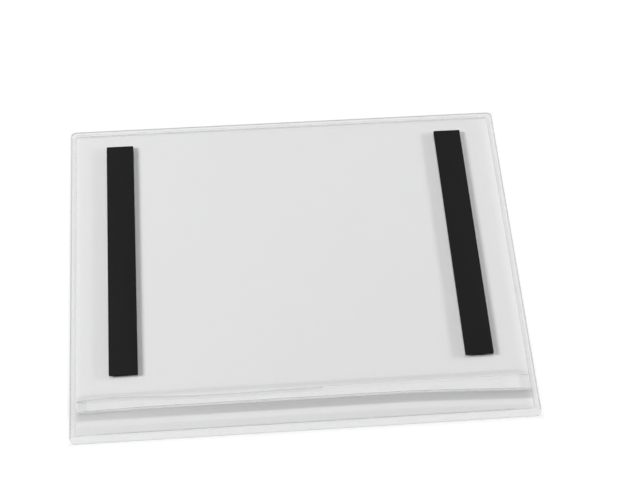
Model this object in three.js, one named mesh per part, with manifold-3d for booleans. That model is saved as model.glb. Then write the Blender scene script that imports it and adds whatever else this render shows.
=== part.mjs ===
// Magnetic document pocket: clear films welded together along their border, with two magnet strips
// on the back film. It is empty and lies on its front film, so the back and the magnets face up.
// +X runs along the long side, +Y up the page and away from the entry slit, +Z out of the back.
// The origin is on the surface it lies on, under the middle of the pocket.
import * as THREE from 'three';
import { mergeVertices } from 'three/addons/utils/BufferGeometryUtils.js';
import Module from 'manifold-3d';

const manifold = await Module();
manifold.setup();

// Driving dimensions, in millimetres
const pocketWidth = 330;
const pocketHeight = 264;
const cornerRadius = 4;
const filmThickness = 0.4;

// The weld is narrow along the sides and the top, and wider along the entry end
const sideWeld = 4.5;
const entryWeld = 6.5;
const weldStand = 0.2;
const weldRounding = 0.6;

// The line that the welding tool presses into the rim, near the rim's inner edge
const pressedLineWidth = 0.8;
const pressedLineDepth = 0.4;
const pressedLineInset = 0.6;

// Free heights between the films of the empty pocket
const documentRoom = 0.3;
const slitRoom = 0.2;

// The entry slit: how far the back film stops above the entry weld, and how far it overlaps the strip
const entryMouth = 18.5;
const slitOverlap = 9;

// Where the two films overlap, they stand up together as a low flat ridge: its height, and the runs
// in which it comes down, on the far side, on the side of the entry end and at its two ends
const ridgeRise = 1.2;
const ridgeFarRun = 5.5;
const ridgeNearRun = 6.5;
const ridgeEndRun = 8;

const magnetWidth = 20.5;
const magnetThickness = 1.5;
const magnetCornerRadius = 0.8;
const magnetSideMargin = 23;
const magnetTopMargin = 12;
const magnetLipMargin = 25.5;

// Facets of the round shapes
const cornerFacets = 8;
const roundingFacets = 3;
const ridgeFacets = 8;

// The window of the rim, which the films fill
const windowWidth = pocketWidth - 2 * sideWeld;
const windowHeight = pocketHeight - sideWeld - entryWeld;
const windowTop = pocketHeight / 2 - sideWeld;
const windowBottom = windowTop - windowHeight;
const windowMiddle = (windowTop + windowBottom) / 2;

// The stack of layers, from the surface up
const frontTop = filmThickness;
const stripBottom = frontTop + documentRoom;
const backBottom = stripBottom + filmThickness + slitRoom;
const backTop = backBottom + filmThickness;
const rimTop = backTop + weldStand;

// The edges of the slit
const lipEdge = windowBottom + entryMouth;
const stripEdge = lipEdge + slitOverlap;

const clearFilm = new THREE.MeshStandardMaterial({
  name: 'clear film',
  color: 0xdfe2e3,
  roughness: 0.12,
  metalness: 0,
  transparent: true,
  opacity: 0.3,
});
const weldedFilm = new THREE.MeshStandardMaterial({
  name: 'welded film',
  color: 0xe6e8e9,
  roughness: 0.2,
  metalness: 0,
  transparent: true,
  opacity: 0.4,
});
const magnetRubber = new THREE.MeshStandardMaterial({
  name: 'magnet rubber',
  color: 0x262629,
  roughness: 0.75,
  metalness: 0,
});

function roundedRectangle(width, height, radius) {
  const x = width / 2 - radius;
  const y = height / 2 - radius;
  const outline = new THREE.Shape();
  outline.absarc(x, -y, radius, -Math.PI / 2, 0);
  outline.absarc(x, y, radius, 0, Math.PI / 2);
  outline.absarc(-x, y, radius, Math.PI / 2, Math.PI);
  outline.absarc(-x, -y, radius, Math.PI, 1.5 * Math.PI);
  outline.closePath();
  return outline;
}

function rectangle(width, height) {
  return new THREE.Shape([
    new THREE.Vector2(-width / 2, -height / 2),
    new THREE.Vector2(width / 2, -height / 2),
    new THREE.Vector2(width / 2, height / 2),
    new THREE.Vector2(-width / 2, height / 2),
  ]);
}

function toSolid(geometry) {
  const bare = geometry.clone();
  bare.deleteAttribute('normal');
  bare.deleteAttribute('uv');
  const merged = mergeVertices(bare);
  return new manifold.Manifold(new manifold.Mesh({
    numProp: 3,
    vertProperties: merged.attributes.position.array,
    triVerts: new Uint32Array(merged.index.array),
  }));
}

function toGeometry(solid) {
  const mesh = solid.getMesh();
  const geometry = new THREE.BufferGeometry();
  geometry.setAttribute('position', new THREE.BufferAttribute(mesh.vertProperties, 3));
  geometry.setIndex(new THREE.BufferAttribute(mesh.triVerts, 1));
  geometry.computeVertexNormals();
  return geometry;
}

function addPiece(group, name, geometry, material, x, y, z) {
  const piece = new THREE.Mesh(geometry, material);
  piece.name = name;
  piece.position.set(x, y, z);
  group.add(piece);
}

// The welded border: a flat frame with its outer edges rounded, and a line pressed into its back.
// Its own origin is the middle of the pocket.
function makeWeldRim() {
  const outline = roundedRectangle(pocketWidth, pocketHeight, cornerRadius);
  const plate = new THREE.ExtrudeGeometry(outline, {
    depth: rimTop - 2 * weldRounding,
    curveSegments: cornerFacets,
    bevelEnabled: true,
    bevelThickness: weldRounding,
    bevelSize: weldRounding,
    bevelOffset: -weldRounding,
    bevelSegments: roundingFacets,
  });
  plate.translate(0, 0, weldRounding);

  const window = new THREE.BoxGeometry(windowWidth, windowHeight, 4 * rimTop);
  window.translate(0, windowMiddle, 0);

  const lineInner = 2 * pressedLineInset;
  const lineOuter = lineInner + 2 * pressedLineWidth;
  const lineShape = rectangle(windowWidth + lineOuter, windowHeight + lineOuter);
  lineShape.holes.push(rectangle(windowWidth + lineInner, windowHeight + lineInner));
  const line = new THREE.ExtrudeGeometry(lineShape, {
    depth: 2 * pressedLineDepth,
    bevelEnabled: false,
  });
  line.translate(0, windowMiddle, rimTop - pressedLineDepth);

  return toGeometry(toSolid(plate).subtract(toSolid(window)).subtract(toSolid(line)));
}

// The front film, a plain flat sheet. Its own origin is the middle of its lower face.
function makeFrontFilm() {
  const film = new THREE.BoxGeometry(windowWidth, windowHeight, filmThickness);
  film.translate(0, 0, filmThickness / 2);
  return film;
}

// Goes from 0 to 1 with no kink at either end
function ease(share) {
  const t = THREE.MathUtils.clamp(share, 0, 1);
  return t * t * (3 - 2 * t);
}

// How far both films of the overlap stand up at a place
function ridgeLift(x, y) {
  const farSide = ease((stripEdge + ridgeFarRun - y) / ridgeFarRun);
  const nearSide = ease((y - lipEdge + ridgeNearRun) / ridgeNearRun);
  const ends = ease((windowWidth / 2 - Math.abs(x)) / ridgeEndRun);
  return ridgeRise * farSide * nearSide * ends;
}

// Positions along one direction, through stretches that each have an end and a number of facets
function gridLines(start, stretches) {
  const lines = [start];
  for (const [end, facets] of stretches) {
    const from = lines[lines.length - 1];
    for (let i = 1; i <= facets; i += 1) {
      lines.push(from + (end - from) * i / facets);
    }
  }
  return lines;
}

// A film that follows the ridge, between the given lines across it. Its own origin is the middle of
// the pocket, at the level of its lower face.
function makeRidgedFilm(ys) {
  const xs = gridLines(-windowWidth / 2, [
    [ridgeEndRun - windowWidth / 2, ridgeFacets],
    [windowWidth / 2 - ridgeEndRun, 1],
    [windowWidth / 2, ridgeFacets],
  ]);
  const columns = xs.length - 1;
  const rows = ys.length - 1;
  const film = new THREE.BoxGeometry(columns, rows, filmThickness, columns, rows, 1);
  const corners = film.attributes.position;
  for (let i = 0; i < corners.count; i += 1) {
    const x = xs[Math.round(corners.getX(i) + columns / 2)];
    const y = ys[Math.round(corners.getY(i) + rows / 2)];
    corners.setXYZ(i, x, y, corners.getZ(i) + filmThickness / 2 + ridgeLift(x, y));
  }
  return film;
}

// The low film at the entry end, from the weld up to its free edge under the back film
function makeEntryStrip() {
  return makeRidgedFilm(gridLines(windowBottom, [
    [lipEdge - ridgeNearRun, 1],
    [lipEdge, ridgeFacets],
    [stripEdge, 1],
  ]));
}

// The back film, from its free edge over the entry strip up to the weld
function makeBackFilm() {
  return makeRidgedFilm(gridLines(lipEdge, [
    [stripEdge, 1],
    [stripEdge + ridgeFarRun, ridgeFacets],
    [windowTop, 1],
  ]));
}

// A magnet strip, flat on both sides. Its own origin is the middle of its lower face.
function makeMagnetStrip(length) {
  return new THREE.ExtrudeGeometry(roundedRectangle(magnetWidth, length, magnetCornerRadius), {
    depth: magnetThickness,
    curveSegments: roundingFacets,
    bevelEnabled: false,
  });
}

const pocket = new THREE.Group();

addPiece(pocket, 'weld_rim', makeWeldRim(), weldedFilm, 0, 0, 0);
addPiece(pocket, 'front_sheet', makeFrontFilm(), clearFilm, 0, windowMiddle, 0);
addPiece(pocket, 'entry_strip', makeEntryStrip(), clearFilm, 0, 0, stripBottom);
addPiece(pocket, 'back_sheet', makeBackFilm(), clearFilm, 0, 0, backBottom);

const magnetTop = windowTop - magnetTopMargin;
const magnetBottom = lipEdge + magnetLipMargin;
const magnetX = windowWidth / 2 - magnetSideMargin - magnetWidth / 2;
for (const [side, x] of [['left', -magnetX], ['right', magnetX]]) {
  const strip = makeMagnetStrip(magnetTop - magnetBottom);
  const middle = (magnetTop + magnetBottom) / 2;
  addPiece(pocket, `${side}_magnet_strip`, strip, magnetRubber, x, middle, backTop);
}

export default pocket;
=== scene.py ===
"""A magnetic document pocket, lying on its front film with the back and its two magnet strips up."""
import math

import bmesh
import bpy
from bpy.props import FloatProperty, FloatVectorProperty, PointerProperty
from mathutils import Matrix, Vector


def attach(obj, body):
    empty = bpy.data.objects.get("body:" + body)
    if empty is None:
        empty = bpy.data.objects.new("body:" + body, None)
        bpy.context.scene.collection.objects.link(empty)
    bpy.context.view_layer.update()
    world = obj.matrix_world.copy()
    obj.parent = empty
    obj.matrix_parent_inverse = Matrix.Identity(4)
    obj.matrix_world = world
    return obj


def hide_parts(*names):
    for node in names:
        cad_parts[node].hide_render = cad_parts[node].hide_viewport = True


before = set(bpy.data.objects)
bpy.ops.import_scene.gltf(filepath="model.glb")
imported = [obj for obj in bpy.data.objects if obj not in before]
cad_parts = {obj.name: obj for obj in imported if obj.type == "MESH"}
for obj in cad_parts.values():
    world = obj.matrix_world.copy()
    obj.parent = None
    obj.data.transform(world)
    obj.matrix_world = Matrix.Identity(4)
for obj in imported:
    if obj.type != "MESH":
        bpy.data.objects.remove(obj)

bl_info = {
    "name": "Magnetic document pocket",
    "version": (1, 0, 0),
    "blender": (4, 5, 0),
    "location": "3D View > Sidebar > Pocket",
    "description": "Builds a clear document pocket with two magnet strips, and a plain stage for it",
    "category": "Add Mesh",
}

MM = 0.001

# Where the bare surfaces of two pieces would lie in one plane, one of them keeps this far away
CLEARANCE = 0.02 * MM

# The stack of layers, from the surface up
FRONT_TOP = 0.4 * MM
ENTRY_TOP = 1.1 * MM
BACK_TOP = 1.7 * MM
BORDER_TOP = 1.9 * MM

# The ridge in which the two films of the entry slit stand up together
RIDGE_FAR_RUN = 5.5 * MM
RIDGE_NEAR_RUN = 6.5 * MM
RIDGE_END_RUN = 8.0 * MM
RIDGE_FACETS = 10

# How the two free edges of the slit run: the back film's edge dips towards both ends, and more at the
# right one. The strip's edge waves, and rises towards its left end.
LEFT_DIP = 0.9 * MM
LEFT_DIP_RUN = 60 * MM
RIGHT_DIP = 3.6 * MM
RIGHT_DIP_START = 60 * MM
RIGHT_DIP_RUN = 120 * MM
STRIP_WAVE = 0.9 * MM
STRIP_WAVE_RUN = 48 * MM
STRIP_DROP = 0.5 * MM
STRIP_RISE = 2.0 * MM
STRIP_RISE_START = -60 * MM
STRIP_RISE_RUN = 80 * MM
STRIP_END_RUN = 30 * MM
BOW_FACETS = 24

# Painted lines of shade and highlight along the free edges: their width, and how far right the wide one of the strip
# goes
EDGE_LINE = 0.45 * MM
COVERED_LINE = 0.4 * MM
COVERED_LINE_WIDE = 1.3 * MM
COVERED_LINE_WIDE_END = 20 * MM

# Where the painted shade of the bent film starts to fade towards the left end, and where it is faintest
FADING_START = -20 * MM
FADING_END = -160 * MM

# The section of the border, with distances outwards from its inner edge for the pressed line
BORDER_ROUNDING = 0.6 * MM
ROUNDING_FACETS = 4
TRIM_WIDTH = 1.1 * MM
TRIM_DIP = 0.03 * MM
LINE_OUTER = 1.5 * MM
LINE_INNER = 0.6 * MM
LINE_SLOPE = 0.2 * MM
LINE_DEPTH = 0.36 * MM
LIP_ROUNDING = 0.15 * MM
INNER_RADIUS = 0.5 * MM
CORNER_FACETS = 8
FIRST_TRIMMED = 3
ENTRY_TRIMMED = 4

# The painted highlight at both ends of the entry weld: its length, its distance from the inner edge and its reach
HIGHLIGHT_LENGTH = 18 * MM
HIGHLIGHT_INSET = 0.4 * MM
HIGHLIGHT_REACH = 0.1 * MM

MAGNET_CORNER = 0.8 * MM
MAGNET_EDGE = 0.18 * MM

# The white of the floor, measured from the pocket's outline, and the floor's half size and gap
GLOW_START = -1.5 * MM
GLOW_END = 20 * MM
FLOOR_HALF = 4.0
FLOOR_GAP = 0.05 * MM

# Each lamp: its name, place and aim, its width and depth in metres, and its power in watts
LAMPS = (
    ("left_key", (-2.2, 0.08, 1.6), (-0.1, 0, 0), 0.76, 0.84, 66.5),
    ("right_fill", (1.5, 0.08, 0.44), (0.1, 0, 0), 0.63, 0.19, 18.0),
    ("back_box", (0.08, 0.9, 1.5), (0, 0, 0), 1.15, 1.0, 4.0),
)

# The room's light on the objects, and as a shiny surface mirrors it
ROOM_LIGHT = 0.03
MIRRORED_LIGHT = 0.6

# The camera, from a fit of the pocket's corners and magnet strips
CAMERA_PLACE = (-0.052998, -0.582452, 0.985440)
CAMERA_RIGHT = (0.996524, -0.079208, 0.025808)
CAMERA_UP = (0.053866, 0.848973, 0.525683)
CAMERA_BACK = (-0.063549, -0.522466, 0.850289)
CAMERA_LENS = 86.97


def colour(code):
    """Turns an sRGB hex colour into linear red, green and blue."""
    linear = []
    for start in (1, 3, 5):
        value = int(code[start:start + 2], 16) / 255
        linear.append(value / 12.92 if value <= 0.04045 else ((value + 0.055) / 1.055) ** 2.4)
    return tuple(linear)


def length(name, description, millimetres):
    return FloatProperty(
        name=name, description=description, default=millimetres * MM, min=0, subtype="DISTANCE", unit="LENGTH"
    )


def tint(name, description, code):
    return FloatVectorProperty(
        name=name, description=description, default=colour(code), min=0, max=1, size=3, subtype="COLOR"
    )


class PocketSettings(bpy.types.PropertyGroup):
    """The sizes and colours of the pocket"""

    width: length("Width", "Outer width of the pocket", 330)
    height: length("Height", "Outer height of the pocket", 264)
    side_weld: length("Side weld", "Width of the border at the sides and the top", 4.5)
    entry_weld: length("Entry weld", "Width of the border at the entry end", 6.5)
    corner_radius: length("Corner radius", "Radius of the outer corners", 4)
    film_thickness: length("Film thickness", "Thickness of each film", 0.4)
    entry_mouth: length("Entry mouth", "How far the back film stops above the entry weld", 17.4)
    slit_overlap: length("Slit overlap", "How far the back film overlaps the entry strip", 8.7)
    ridge_rise: length("Ridge rise", "How far the overlap stands up", 1.2)
    magnet_width: length("Magnet width", "Width of each magnet strip", 20.5)
    magnet_thickness: length("Magnet thickness", "Thickness of each magnet strip", 1.48)
    magnet_side_margin: length("Magnet side margin", "From the side weld to the magnet strip", 23)
    magnet_top_margin: length("Magnet top margin", "From the top weld to the magnet strip", 12)
    magnet_lip_margin: length("Magnet slit margin", "From the back film's free edge to the magnet strip", 26.6)
    film_colour: tint("Film colour", "Tint of the clear film", "#FBFBFB")
    # The border's tint is darker than the film's: painted shade that stands for the shadow the border doesn't cast
    border_colour: tint("Border colour", "Tint of the welded border", "#F3F3F3")
    # The haze colour also gives the painted highlights along the back film's free edge and on the entry weld
    haze_and_highlight_colour: tint("Haze colour", "Colour of the slight haze in the film", "#F2F4F5")
    # The edge colour is painted shade: the grey of the cut edges, the creases and the trimmed outer edge
    edge_shade_colour: tint("Edge colour", "Colour of the film where it is cut or creased", "#85898C")
    magnet_colour: tint("Magnet colour", "Colour of the magnet strips", "#141415")
    floor_colour: tint("Floor colour", "Colour of the floor", "#FCFCFC")


def node(tree, kind, inputs=(), **options):
    """Adds a node, sets its options and fills its inputs with values or links."""
    made = tree.nodes.new(kind)
    for name, value in options.items():
        setattr(made, name, value)
    for name, value in dict(inputs).items():
        if isinstance(value, bpy.types.NodeSocket):
            tree.links.new(value, made.inputs[name])
        else:
            made.inputs[name].default_value = value
    return made


def new_material(name):
    material = bpy.data.materials.new(name)
    material.use_nodes = True
    material.node_tree.nodes.clear()
    return material, material.node_tree


def pattern(tree, millimetres, detail=2.0):
    """Soft noise with patches about as large as the given size."""
    place = node(tree, "ShaderNodeTexCoord").outputs["Object"]
    inputs = {"Vector": place, "Scale": 1 / (millimetres * MM), "Detail": detail}
    return node(tree, "ShaderNodeTexNoise", inputs).outputs["Fac"]


def blend(tree, share, first, second):
    """A mix of two colours by a share."""
    if not isinstance(first, bpy.types.NodeSocket):
        first = (*first, 1)
    return node(tree, "ShaderNodeMix", {0: share, 6: first, 7: (*second, 1)}, data_type="RGBA").outputs[2]


def graded(tree, base, stops, drop, fading):
    """Painted light and shade, as a tint that changes up the page. Each stop is a place in metres and a factor on
    the film's own tint.

    A factor below 1 is painted shade, and one above 1 a painted reflection of the room. Towards the right end the
    places lie lower by the drop, and towards the left end the tint fades.
    """
    first, last = stops[0][0], stops[-1][0]
    place = node(tree, "ShaderNodeTexCoord").outputs["Object"]
    apart = node(tree, "ShaderNodeSeparateXYZ", {0: place}).outputs
    dip_end = RIGHT_DIP_START + RIGHT_DIP_RUN
    ends = {"Value": apart["X"], "From Min": RIGHT_DIP_START, "From Max": dip_end, "To Max": drop}
    lower = node(tree, "ShaderNodeMapRange", ends, interpolation_type="SMOOTHSTEP").outputs[0]
    up = node(tree, "ShaderNodeMath", {0: apart["Y"], 1: lower}, operation="ADD").outputs[0]
    along = node(tree, "ShaderNodeMapRange", {"Value": up, "From Min": first, "From Max": last}).outputs[0]
    ramp = node(tree, "ShaderNodeValToRGB", {0: along})
    for index, (stop, factor) in enumerate(stops):
        where = (stop - first) / (last - first)
        element = ramp.color_ramp.elements.new(where) if 0 < index < len(stops) - 1 else None
        element = element or ramp.color_ramp.elements[0 if index == 0 else -1]
        element.color = (*(factor * value for value in base), 1)
    if not fading:
        return ramp.outputs[0]
    ends = {"Value": apart["X"], "From Min": FADING_START, "From Max": FADING_END, "To Max": fading}
    faded = node(tree, "ShaderNodeMapRange", ends, interpolation_type="SMOOTHSTEP").outputs[0]
    return blend(tree, faded, ramp.outputs[0], base)


def see_through(name, settings, base, haze, ior, roughness, waviness, stops=(), drop=0.0, fading=0.0):
    """Clear plastic: what is behind it shows through, with a little haze and the shine of a smooth face. Stops add
    painted light and shade up the page.
    """
    material, tree = new_material(name)
    bump = {"Height": pattern(tree, 38), "Distance": waviness * MM, "Strength": 1.0}
    surface = node(tree, "ShaderNodeBump", bump).outputs["Normal"]
    passed = graded(tree, base, stops, drop, fading) if stops else (*base, 1)
    clear = node(tree, "ShaderNodeBsdfTransparent", {"Color": passed})
    milky = node(tree, "ShaderNodeBsdfDiffuse", {"Color": (*settings.haze_and_highlight_colour, 1)})
    cloud = node(tree, "ShaderNodeMapRange", {"Value": pattern(tree, 9), "To Min": 0.7 * haze, "To Max": 1.3 * haze})
    body = node(tree, "ShaderNodeMixShader", {0: cloud.outputs[0], 1: clear.outputs[0], 2: milky.outputs[0]})
    shine = node(
        tree, "ShaderNodeBsdfAnisotropic", {"Color": (1, 1, 1, 1), "Roughness": roughness, "Normal": surface}
    )
    behind = node(tree, "ShaderNodeNewGeometry").outputs["Backfacing"]
    same = node(tree, "ShaderNodeMapRange", {"Value": behind, "To Min": ior, "To Max": 1 / ior})
    mirrored = node(tree, "ShaderNodeFresnel", {"IOR": same.outputs[0]})
    whole = node(tree, "ShaderNodeMixShader", {0: mirrored.outputs[0], 1: body.outputs[0], 2: shine.outputs[0]})
    node(tree, "ShaderNodeOutputMaterial", {"Surface": whole.outputs[0]})
    return material


def painted_light_line(name, base, alpha, roughness):
    """Painted light along a cut, a crease or the weld: a partly clear line in the colour of the painted shade or
    highlight it stands for, with random patches of tone.
    """
    material, tree = new_material(name)
    shade = blend(tree, pattern(tree, 4), [0.8 * value for value in base], [min(1, 1.15 * value) for value in base])
    inputs = {"Base Color": shade, "Roughness": roughness, "Alpha": alpha}
    surface = node(tree, "ShaderNodeBsdfPrincipled", inputs)
    node(tree, "ShaderNodeOutputMaterial", {"Surface": surface.outputs[0]})
    return material


def film_material(settings):
    """Calendered PVC film: clear and smooth, with a soft mirror sheen and a faint grey cast."""
    return see_through("Clear PVC film calendered", settings, settings.film_colour, 0.02, 1.6, 0.06, 0.05)


def entry_film_material(settings):
    """Calendered PVC film, bent, with painted light and shade: a painted shadow where it bends down below the free
    edge of the film over it, painted reflection elsewhere, and a little darker just above the entry weld.
    """
    _, _, bottom, _, lip, strip = layout(settings)
    # Painted light and shade up the entry film: darker just above the entry weld, a painted shadow below the back
    # film's free edge, painted reflection over the rest and the overlap
    stops = (
        (bottom, 0.98),
        (bottom + 4.5 * MM, 0.98),
        (bottom + 6.5 * MM, 1.03),
        (lip - 7.6 * MM, 1.03),
        (lip - 6.2 * MM, 0.86),
        (lip - 0.9 * MM, 0.82),
        (lip - 0.5 * MM, 1.07),
        (strip, 1.07),
    )
    # The painted light and shade lie lower towards the right end and fade towards the left end
    drop, fading = 2.9 * MM, 0.4
    name = "Clear PVC film bent, painted light and shade"
    return see_through(name, settings, settings.film_colour, 0.03, 1.3, 0.06, 0.05, stops, drop, fading)


def back_film_material(settings):
    """Calendered PVC film: clear and smooth, with painted reflection over the overlap and painted shade along the
    far foot of the ridge.
    """
    strip = layout(settings)[-1]
    # Painted light and shade: lighter over the overlap, and painted shade along the far foot of the ridge
    stops = (
        (strip - 0.3 * MM, 1.03),
        (strip, 0.975),
        (strip + 4 * MM, 0.985),
        (strip + 8 * MM, 1.0),
    )
    name = "Clear PVC film calendered and bent, painted light and shade"
    return see_through(name, settings, settings.film_colour, 0.02, 1.6, 0.06, 0.05, stops)


def border_material(settings):
    """Heat welded PVC: the films melted into one, a little hazier than the film and less even, in a darker tint that
    is painted shade for the shadow it doesn't cast.
    """
    return see_through("PVC border heat welded", settings, settings.border_colour, 0.06, 1.4, 0.12, 0.12)


def edge_shade_material(settings):
    """Painted shade along a knife cut film edge: a thin grey line where the light inside the film is trapped."""
    return painted_light_line("PVC film edge knife cut, painted shade", settings.edge_shade_colour, 0.5, 0.3)


def covered_edge_shade_material(settings):
    """Painted shade along a knife cut film edge under another film: a fainter and wider grey line."""
    return painted_light_line("PVC film edge knife cut and covered, painted shade", settings.edge_shade_colour, 0.26, 0.3)


def glint_material(settings):
    """Painted highlight along a cut edge: a thin light line next to the grey one."""
    return painted_light_line("PVC film knife cut painted highlight", settings.haze_and_highlight_colour, 0.55, 0.2)


def weld_highlight_material(settings):
    """Painted highlight on the flat top of the entry weld: a thin white line."""
    return painted_light_line("PVC weld painted highlight", settings.haze_and_highlight_colour, 0.95, 0.15)


def crease_shade_material(settings):
    """Die pressed crease in the border: painted shade makes its steep sides grey."""
    return painted_light_line("PVC crease die pressed, painted shade", settings.edge_shade_colour, 0.26, 0.2)


def outer_edge_shade_material(settings):
    """Painted shade on the trimmed outer edge and along the inner edge of the weld: a grey line round the pocket."""
    darker = [0.5 * value for value in settings.edge_shade_colour]
    return painted_light_line("PVC weld edge trimmed, painted shade", darker, 0.34, 0.25)


def magnet_material(settings):
    """Extruded magnetic rubber: near black and matt, with a fine grain and faint dusty patches."""
    material, tree = new_material("Magnetic rubber extruded")
    base = settings.magnet_colour
    shade = blend(tree, pattern(tree, 30, 4.0), [0.8 * value for value in base], [1.3 * value for value in base])
    bump = {"Height": pattern(tree, 0.5, 3.0), "Distance": 0.03 * MM, "Strength": 0.6}
    grain = node(tree, "ShaderNodeBump", bump).outputs["Normal"]
    inputs = {"Base Color": shade, "Roughness": 0.72, "Specular IOR Level": 0.15, "Normal": grain}
    surface = node(tree, "ShaderNodeBsdfPrincipled", inputs)
    node(tree, "ShaderNodeOutputMaterial", {"Surface": surface.outputs[0]})
    return material


def floor_material(settings):
    """Matt studio paper: plain and pale, lit by the lamps near the pocket and white farther away."""
    material, tree = new_material("Studio paper matt")
    base = settings.floor_colour
    shade = blend(tree, pattern(tree, 60), [0.99 * value for value in base], base)
    paper = node(tree, "ShaderNodeBsdfDiffuse", {"Color": shade})
    place = node(tree, "ShaderNodeTexCoord").outputs["Object"]
    mirrored = node(tree, "ShaderNodeVectorMath", {0: place}, operation="ABSOLUTE").outputs[0]
    outline = (settings.width / 2, settings.height / 2, 0)
    outside = node(tree, "ShaderNodeVectorMath", {0: mirrored, 1: outline}, operation="SUBTRACT").outputs[0]
    apart = node(tree, "ShaderNodeSeparateXYZ", {0: outside}).outputs
    away = node(tree, "ShaderNodeMath", {0: apart["X"], 1: apart["Y"]}, operation="MAXIMUM").outputs[0]
    rise = {"Value": away, "From Min": GLOW_START, "From Max": GLOW_END}
    glow = node(tree, "ShaderNodeMapRange", rise).outputs[0]
    seen = node(tree, "ShaderNodeLightPath").outputs["Is Camera Ray"]
    strength = node(tree, "ShaderNodeMath", {0: glow, 1: seen}, operation="MULTIPLY").outputs[0]
    light = node(tree, "ShaderNodeEmission", {"Strength": strength})
    whole = node(tree, "ShaderNodeAddShader", {0: paper.outputs[0], 1: light.outputs[0]})
    node(tree, "ShaderNodeOutputMaterial", {"Surface": whole.outputs[0]})
    return material


def make_object(bm, name, materials):
    """Turns a mesh into an object in the scene, with its faces outwards and sharp edges kept sharp."""
    bmesh.ops.recalc_face_normals(bm, faces=bm.faces[:])
    for edge in bm.edges:
        edge.smooth = len(edge.link_faces) == 2 and edge.calc_face_angle() < math.radians(32)
    for face in bm.faces:
        face.smooth = True
    mesh = bpy.data.meshes.new(name)
    bm.to_mesh(mesh)
    bm.free()
    for material in materials:
        mesh.materials.append(material)
    made = bpy.data.objects.new(name, mesh)
    bpy.context.scene.collection.objects.link(made)
    return made


def seat(made, replaced):
    """Seats a piece: it moves with the pocket, and the CAD node it stands for is hidden."""
    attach(made, "root")
    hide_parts(replaced)


def layout(settings):
    """The lines of the window and of the slit: left, right, bottom, top, free edge and strip edge."""
    right = settings.width / 2 - settings.side_weld
    top = settings.height / 2 - settings.side_weld
    bottom = settings.entry_weld - settings.height / 2
    lip = bottom + settings.entry_mouth
    strip = lip + settings.slit_overlap
    if not bottom + RIDGE_NEAR_RUN < lip < strip < top - RIDGE_FAR_RUN or right < RIDGE_END_RUN:
        raise ValueError("the slit doesn't fit between the welds")
    return -right, right, bottom, top, lip, strip


def ease(share):
    share = min(max(share, 0.0), 1.0)
    return share * share * (3 - 2 * share)


def ridge_lift(settings, x, y):
    """How far the films of the slit stand up at a place."""
    _, right, _, _, lip, strip = layout(settings)
    far_side = ease((strip + RIDGE_FAR_RUN - y) / RIDGE_FAR_RUN)
    near_side = ease((y - lip + RIDGE_NEAR_RUN) / RIDGE_NEAR_RUN)
    ends = ease((right - abs(x)) / RIDGE_END_RUN)
    return settings.ridge_rise * far_side * near_side * ends


def cut(bm, axis, places):
    """Cuts the mesh straight across one axis at each of the places."""
    across = Vector((0, 0, 0))
    across[axis] = 1
    for place in places:
        everything = bm.verts[:] + bm.edges[:] + bm.faces[:]
        bmesh.ops.bisect_plane(bm, geom=everything, dist=1e-7, plane_co=across * place, plane_no=across)


def steps(start, end, count):
    return [start + (end - start) * i / count for i in range(count + 1)]


def film(settings, top, low, high, rows=(), bands=(), bow=None):
    """A sheet of film between two places up the page, which follows the ridge. Its free edge may bow.

    It is an upper face with its cut edges, so that a look through all the layers stays clear. Each of
    the bands is a stretch up the page, as far as a place to the right, that has another material.
    """
    left, right = layout(settings)[:2]
    left, right = left + CLEARANCE, right - CLEARANCE
    bm = bmesh.new()
    corners = [bm.verts.new(place) for place in ((left, low, 0), (right, low, 0), (right, high, 0), (left, high, 0))]
    bm.faces.new(corners)
    if rows:
        cut(bm, 1, rows)
        cut(bm, 0, steps(left, left + RIDGE_END_RUN, RIDGE_FACETS)[1:])
        cut(bm, 0, steps(right - RIDGE_END_RUN, right, RIDGE_FACETS)[:-1])
        cut(bm, 0, steps(left + RIDGE_END_RUN, right - RIDGE_END_RUN, BOW_FACETS)[1:-1])
    for vert in bm.verts:
        vert.co.z = top + (ridge_lift(settings, vert.co.x, vert.co.y) if rows else 0.0)
    rim = [edge for edge in bm.edges if edge.is_boundary]
    made = bmesh.ops.extrude_edge_only(bm, edges=rim)["geom"]
    lowered = [item for item in made if isinstance(item, bmesh.types.BMVert)]
    bmesh.ops.translate(bm, vec=(0, 0, -settings.film_thickness), verts=lowered)
    for start, end, last, index in bands:
        for face in bm.faces:
            if all(start - 1e-6 < vert.co.y < end + 1e-6 and vert.co.x < last + 1e-6 for vert in face.verts):
                face.material_index = index
    if bow:
        for vert in bm.verts:
            vert.co.y += bow(vert.co.x, vert.co.y)
    return bm


def ring(bm, left, right, bottom, top, radius, height):
    """A rounded rectangle of edges at a height."""
    places = ((left, bottom), (right, bottom), (right, top), (left, top))
    corners = [bm.verts.new((x, y, height)) for x, y in places]
    bm.faces.new(corners)
    bmesh.ops.bevel(
        bm, geom=corners, offset=radius, affect="VERTICES", segments=CORNER_FACETS, profile=0.5, material=-1
    )
    flat = [face for face in bm.faces if all(abs(vert.co.z - height) < 1e-9 for vert in face.verts)]
    face = [face for face in flat if len(face.verts) > 4][-1]
    edges = face.edges[:]
    bmesh.ops.delete(bm, geom=[face], context="FACES_ONLY")
    return edges


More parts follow.
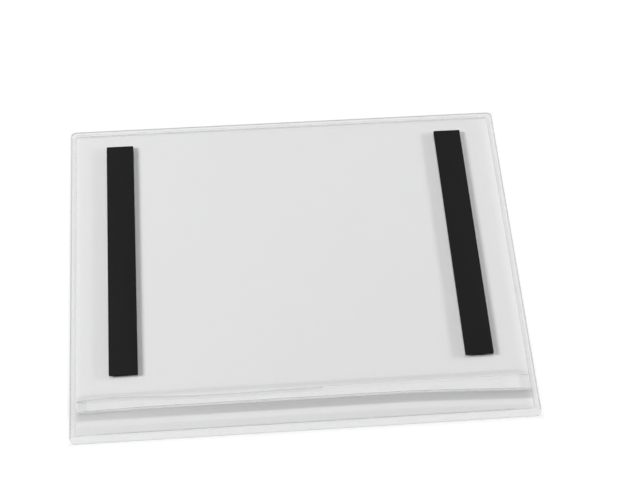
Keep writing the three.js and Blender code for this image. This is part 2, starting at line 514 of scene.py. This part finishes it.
class POCKET_OT_films(bpy.types.Operator):
    """Make the front film, the entry strip and the back film"""

    bl_idname = "pocket.films"
    bl_label = "Make the films"

    def execute(self, context):
        settings = context.scene.pocket
        left, right, bottom, top, lip, strip = layout(settings)
        # Painted lines: 1 painted shade along a cut edge, 2 a painted highlight next to it, 3 fainter painted shade
        # along a covered edge
        edges = [edge_shade_material(settings), glint_material(settings), covered_edge_shade_material(settings)]

        front = film(settings, FRONT_TOP, bottom + CLEARANCE, top - CLEARANCE)
        seat(make_object(front, "front_film", [film_material(settings)]), "front_sheet")

        def strip_bow(x, y):
            wave = STRIP_WAVE * math.sin(x / STRIP_WAVE_RUN) - STRIP_DROP
            wave += STRIP_RISE * ease((STRIP_RISE_START - x) / STRIP_RISE_RUN)
            return wave * ease((y - lip) / (strip - lip)) * ease((right - abs(x)) / STRIP_END_RUN)

        rows = steps(lip - RIDGE_NEAR_RUN, lip, RIDGE_FACETS)
        # Painted shade along the strip's covered edge, wider from the left end to a little right of the middle
        narrow, wide = strip - COVERED_LINE, strip - COVERED_LINE_WIDE
        rows += [wide, narrow]
        bands = [(narrow, strip, right, 3), (wide, strip, COVERED_LINE_WIDE_END, 3)]
        entry = film(settings, ENTRY_TOP, bottom + CLEARANCE, strip, rows, bands, strip_bow)
        materials = [entry_film_material(settings), *edges]
        seat(make_object(entry, "entry_film", materials), "entry_strip")

        def lip_bow(x, y):
            wave = LEFT_DIP * (ease((right + x) / LEFT_DIP_RUN) - 1.0)
            wave -= RIGHT_DIP * ease((x - RIGHT_DIP_START) / RIGHT_DIP_RUN)
            return wave * ease((strip - y) / (strip - lip))

        # A painted highlight and a painted shade line along the back film's free edge
        light, dark = lip + EDGE_LINE, lip + 2 * EDGE_LINE
        rows = [light, dark, *steps(strip, strip + RIDGE_FAR_RUN, RIDGE_FACETS)]
        bands = [(lip, light, right, 2), (light, dark, right, 1)]
        back = film(settings, BACK_TOP, lip, top - CLEARANCE, rows, bands, lip_bow)
        materials = [back_film_material(settings), *edges]
        seat(make_object(back, "back_film", materials), "back_sheet")
        return {"FINISHED"}


class POCKET_OT_border(bpy.types.Operator):
    """Make the welded border with its pressed lines"""

    bl_idname = "pocket.border"
    bl_label = "Make the welded border"

    def execute(self, context):
        settings = context.scene.pocket
        half_width, half_height = settings.width / 2, settings.height / 2
        weld = settings.side_weld
        section = []
        for turn in steps(-math.pi / 2, 0, ROUNDING_FACETS):
            inset = BORDER_ROUNDING * (1 - math.cos(turn))
            section.append((inset, BORDER_ROUNDING * (1 + math.sin(turn))))
        for turn in steps(0, math.pi / 2, ROUNDING_FACETS):
            inset = BORDER_ROUNDING * (1 - math.cos(turn))
            section.append((inset, BORDER_TOP - BORDER_ROUNDING * (1 - math.sin(turn))))
        section.append((TRIM_WIDTH, BORDER_TOP - TRIM_DIP))
        rounded = len(section)
        section += [
            (weld - LINE_OUTER, BORDER_TOP),
            (weld - LINE_OUTER + LINE_SLOPE, BORDER_TOP - LINE_DEPTH),
            (weld - LINE_INNER - LINE_SLOPE, BORDER_TOP - LINE_DEPTH),
            (weld - LINE_INNER, BORDER_TOP),
            (weld - LIP_ROUNDING, BORDER_TOP),
            (weld, BORDER_TOP - LIP_ROUNDING),
            (weld, 0.0),
        ]
        bm = bmesh.new()
        rings = []
        for index, (inset, height) in enumerate(section):
            wider = settings.entry_weld - weld if index >= rounded else 0.0
            radius = max(settings.corner_radius - inset, INNER_RADIUS)
            rings.append(
                ring(
                    bm,
                    inset - half_width,
                    half_width - inset,
                    inset + wider - half_height,
                    half_height - inset,
                    radius,
                    height,
                )
            )
        for index, edges in enumerate(rings):
            following = rings[(index + 1) % len(rings)]
            made = bmesh.ops.bridge_loops(bm, edges=edges + following)["faces"]
            # Materials: 0 border, 1 painted shade in the crease, 2 painted shade on the trimmed outer edge and the
            # inner edge, 3 painted highlight at the ends of the entry weld, 4 painted shade on the edge at the entry
            # end
            crease = index in (rounded, rounded + 2, rounded + 4)
            inner = index in (rounded + 4, rounded + 5)
            for face in made:
                at_entry = face.calc_center_median().y < settings.entry_weld + 1 * MM - half_height
                if at_entry:
                    face.material_index = 4 if index == ENTRY_TRIMMED else 1 if crease else 0
                elif FIRST_TRIMMED <= index < rounded - 1 or inner:
                    face.material_index = 2
                else:
                    face.material_index = 1 if crease else 0
        # Painted highlight: a thin white line on the top of the entry weld near both its ends
        cut(bm, 0, (HIGHLIGHT_LENGTH - half_width, half_width - HIGHLIGHT_LENGTH))
        highlight_line = settings.entry_weld - HIGHLIGHT_INSET - half_height
        for face in bm.faces:
            middle = face.calc_center_median()
            at_end = half_width - abs(middle.x) < HIGHLIGHT_LENGTH
            if at_end and abs(middle.y - highlight_line) < HIGHLIGHT_REACH and middle.z > BORDER_TOP - HIGHLIGHT_REACH:
                face.material_index = 3
        materials = [border_material(settings), crease_shade_material(settings)]
        materials += [outer_edge_shade_material(settings), weld_highlight_material(settings), edge_shade_material(settings)]
        border = make_object(bm, "welded_border", materials)
        # With its shadow the clear border comes out darker than in the photograph, so it casts none
        border.visible_shadow = False
        seat(border, "weld_rim")
        return {"FINISHED"}


class POCKET_OT_magnets(bpy.types.Operator):
    """Make the two magnet strips"""

    bl_idname = "pocket.magnets"
    bl_label = "Make the magnet strips"

    def execute(self, context):
        settings = context.scene.pocket
        _, right, _, top, lip, _ = layout(settings)
        rubber = magnet_material(settings)
        high, low = top - settings.magnet_top_margin, lip + settings.magnet_lip_margin
        middle = right - settings.magnet_side_margin - settings.magnet_width / 2
        bottom = BACK_TOP + CLEARANCE
        for side, x in (("left", -middle), ("right", middle)):
            bm = bmesh.new()
            cube = bmesh.ops.create_cube(bm, size=1.0)["verts"]
            bmesh.ops.scale(bm, vec=(settings.magnet_width, high - low, settings.magnet_thickness), verts=cube)
            bmesh.ops.translate(bm, vec=(x, (high + low) / 2, bottom + settings.magnet_thickness / 2), verts=cube)
            upright = [edge for edge in bm.edges if abs(edge.verts[0].co.z - edge.verts[1].co.z) > MM]
            bmesh.ops.bevel(
                bm, geom=upright, offset=MAGNET_CORNER, affect="EDGES", segments=4, profile=0.5, material=-1
            )
            level = bottom + settings.magnet_thickness
            rim = [edge for edge in bm.edges if all(abs(vert.co.z - level) < 1e-6 for vert in edge.verts)]
            bmesh.ops.bevel(
                bm, geom=rim, offset=MAGNET_EDGE, affect="EDGES", segments=3, profile=0.5, material=-1
            )
            seat(make_object(bm, side + "_magnet", [rubber]), side + "_magnet_strip")
        return {"FINISHED"}


def add_softbox(name, place, aim, width, depth, power):
    """A soft studio lamp that looks at a point, and that the camera doesn't see."""
    lamp = bpy.data.lights.new(name, "AREA")
    lamp.shape = "RECTANGLE"
    lamp.size, lamp.size_y, lamp.energy = width, depth, power
    made = bpy.data.objects.new(name, lamp)
    made.location = place
    made.rotation_euler = (Vector(aim) - Vector(place)).to_track_quat("-Z", "Y").to_euler()
    made.visible_camera = False
    bpy.context.scene.collection.objects.link(made)


class POCKET_OT_stage(bpy.types.Operator):
    """Make the floor, the lamps and the camera"""

    bl_idname = "pocket.stage"
    bl_label = "Make the stage"

    def execute(self, context):
        scene = context.scene
        bm = bmesh.new()
        bmesh.ops.create_grid(bm, x_segments=1, y_segments=1, size=FLOOR_HALF)
        bmesh.ops.translate(bm, vec=(0, 0, -FLOOR_GAP), verts=bm.verts[:])
        floor = make_object(bm, "floor", [floor_material(scene.pocket)])

        for lamp in LAMPS:
            add_softbox(*lamp)

        world = bpy.data.worlds.new("studio")
        world.use_nodes = True
        world.node_tree.nodes.clear()
        tree = world.node_tree
        path = node(tree, "ShaderNodeLightPath").outputs
        around = {"Value": path["Is Glossy Ray"], "To Min": ROOM_LIGHT, "To Max": MIRRORED_LIGHT}
        level = node(tree, "ShaderNodeMapRange", around).outputs[0]
        white = node(tree, "ShaderNodeMath", {0: level, 1: path["Is Camera Ray"]}, operation="MAXIMUM").outputs[0]
        glow = node(tree, "ShaderNodeBackground", {"Color": (1, 1, 1, 1), "Strength": white})
        node(tree, "ShaderNodeOutputWorld", {"Surface": glow.outputs[0]})
        scene.world = world

        lens = bpy.data.cameras.new("camera")
        lens.lens = CAMERA_LENS
        lens.sensor_width = 36
        camera = bpy.data.objects.new("camera", lens)
        axes = Matrix((CAMERA_RIGHT, CAMERA_UP, CAMERA_BACK)).transposed().to_4x4()
        camera.matrix_world = Matrix.Translation(CAMERA_PLACE) @ axes
        scene.collection.objects.link(camera)
        scene.camera = camera
        scene.view_settings.view_transform = "Standard"
        return {"FINISHED"}


class POCKET_PT_panel(bpy.types.Panel):
    """The pocket's sizes, colours and steps"""

    bl_label = "Document pocket"
    bl_idname = "POCKET_PT_panel"
    bl_space_type = "VIEW_3D"
    bl_region_type = "UI"
    bl_category = "Pocket"

    def draw(self, context):
        for name in PocketSettings.__annotations__:
            self.layout.prop(context.scene.pocket, name)
        for step in STEPS:
            self.layout.operator(step.bl_idname)


STEPS = (POCKET_OT_films, POCKET_OT_border, POCKET_OT_magnets, POCKET_OT_stage)
CLASSES = (PocketSettings, *STEPS, POCKET_PT_panel)


def register():
    for made in CLASSES:
        bpy.utils.register_class(made)
    bpy.types.Scene.pocket = PointerProperty(type=PocketSettings)


def unregister():
    del bpy.types.Scene.pocket
    for made in reversed(CLASSES):
        bpy.utils.unregister_class(made)


def main():
    register()
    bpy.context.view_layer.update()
    bpy.ops.pocket.films()
    bpy.ops.pocket.border()
    bpy.ops.pocket.magnets()
    bpy.ops.pocket.stage()


if __name__ == "__main__":
    main()
